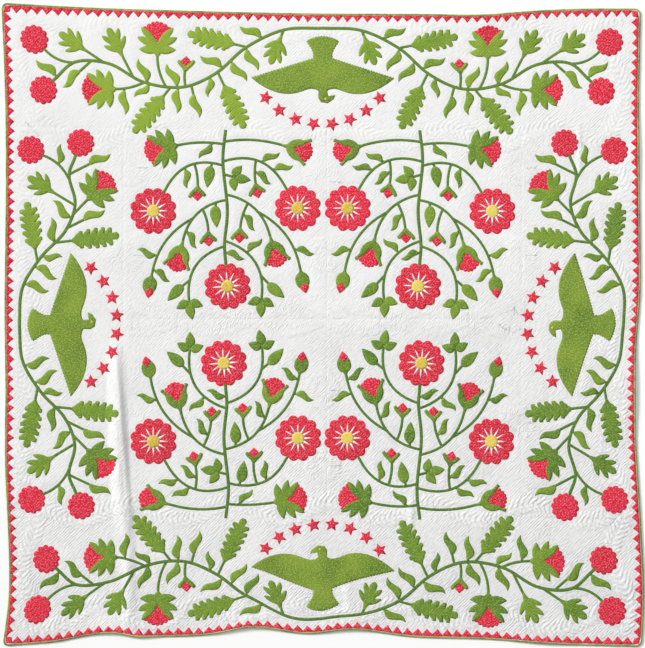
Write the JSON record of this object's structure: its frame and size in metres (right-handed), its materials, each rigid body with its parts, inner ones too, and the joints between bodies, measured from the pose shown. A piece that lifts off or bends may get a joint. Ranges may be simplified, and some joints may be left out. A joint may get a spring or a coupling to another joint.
{
  "type": "applique bed quilt",
  "caption": "Square quilted bedcover laid out flat, with applique rose trees, vines and spread eagles, a toothed inner edge and a narrow binding.",
  "frame": {"origin": "middle of the laid out quilt, on its underside", "axes": "+X across the quilt to the right, +Y up its length towards the top edge, +Z away from the surface that it lies on"},
  "size_m": [2.2969, 2.3005, 0.0167],
  "materials": {
    "ground_cotton": "matt cotton, off-white, closely quilted",
    "red_cotton": "matt cotton, red with lighter worn flecks",
    "green_cotton": "matt cotton, mottled leaf green",
    "light_green_cotton": "matt cotton, mottled yellow-green",
    "binding_cotton": "matt cotton strip, yellow-green to mid green",
    "yellow_cotton": "matt cotton, yellow",
    "white_cotton": "matt cotton, white"
  },
  "bodies": {
    "root": {"binding_bottom": "binding_cotton", "binding_left": "binding_cotton", "binding_right": "binding_cotton", "binding_top": "binding_cotton", "eagle_bottom": "light_green_cotton", "eagle_left": "light_green_cotton", "eagle_right": "light_green_cotton", "eagle_top": "light_green_cotton", "flower_bottom_left_1": "red_cotton", "flower_bottom_left_2": "red_cotton", "flower_bottom_right_1": "red_cotton", "flower_bottom_right_2": "red_cotton", "flower_left_lower_1": "red_cotton", "flower_left_lower_2": "red_cotton", "flower_left_upper_1": "red_cotton", "flower_left_upper_2": "red_cotton", "flower_right_lower_1": "red_cotton", "flower_right_lower_2": "red_cotton", "flower_right_upper_1": "red_cotton", "flower_right_upper_2": "red_cotton", "flower_top_left_1": "red_cotton", "flower_top_left_2": "red_cotton", "flower_top_right_1": "red_cotton", "flower_top_right_2": "red_cotton", "quilted_sheet": "ground_cotton", "rose_lower_left_1": "red_cotton", "rose_lower_left_2": "red_cotton", "rose_lower_left_3": "red_cotton", "rose_lower_right_1": "red_cotton", "rose_lower_right_2": "red_cotton", "rose_lower_right_3": "red_cotton", "rose_upper_left_1": "red_cotton", "rose_upper_left_2": "red_cotton", "rose_upper_left_3": "red_cotton", "rose_upper_right_1": "red_cotton", "rose_upper_right_2": "red_cotton", "rose_upper_right_3": "red_cotton", "teeth_bottom": "red_cotton", "teeth_left": "red_cotton", "teeth_right": "red_cotton", "teeth_top": "red_cotton", "tree_lower_left": "green_cotton", "tree_lower_right": "green_cotton", "tree_upper_left": "green_cotton", "tree_upper_right": "green_cotton", "vine_bottom_left": "green_cotton", "vine_bottom_right": "green_cotton", "vine_left_lower": "green_cotton", "vine_left_upper": "green_cotton", "vine_right_lower": "green_cotton", "vine_right_upper": "green_cotton", "vine_top_left": "green_cotton", "vine_top_right": "green_cotton"}
  },
  "joints": []
}
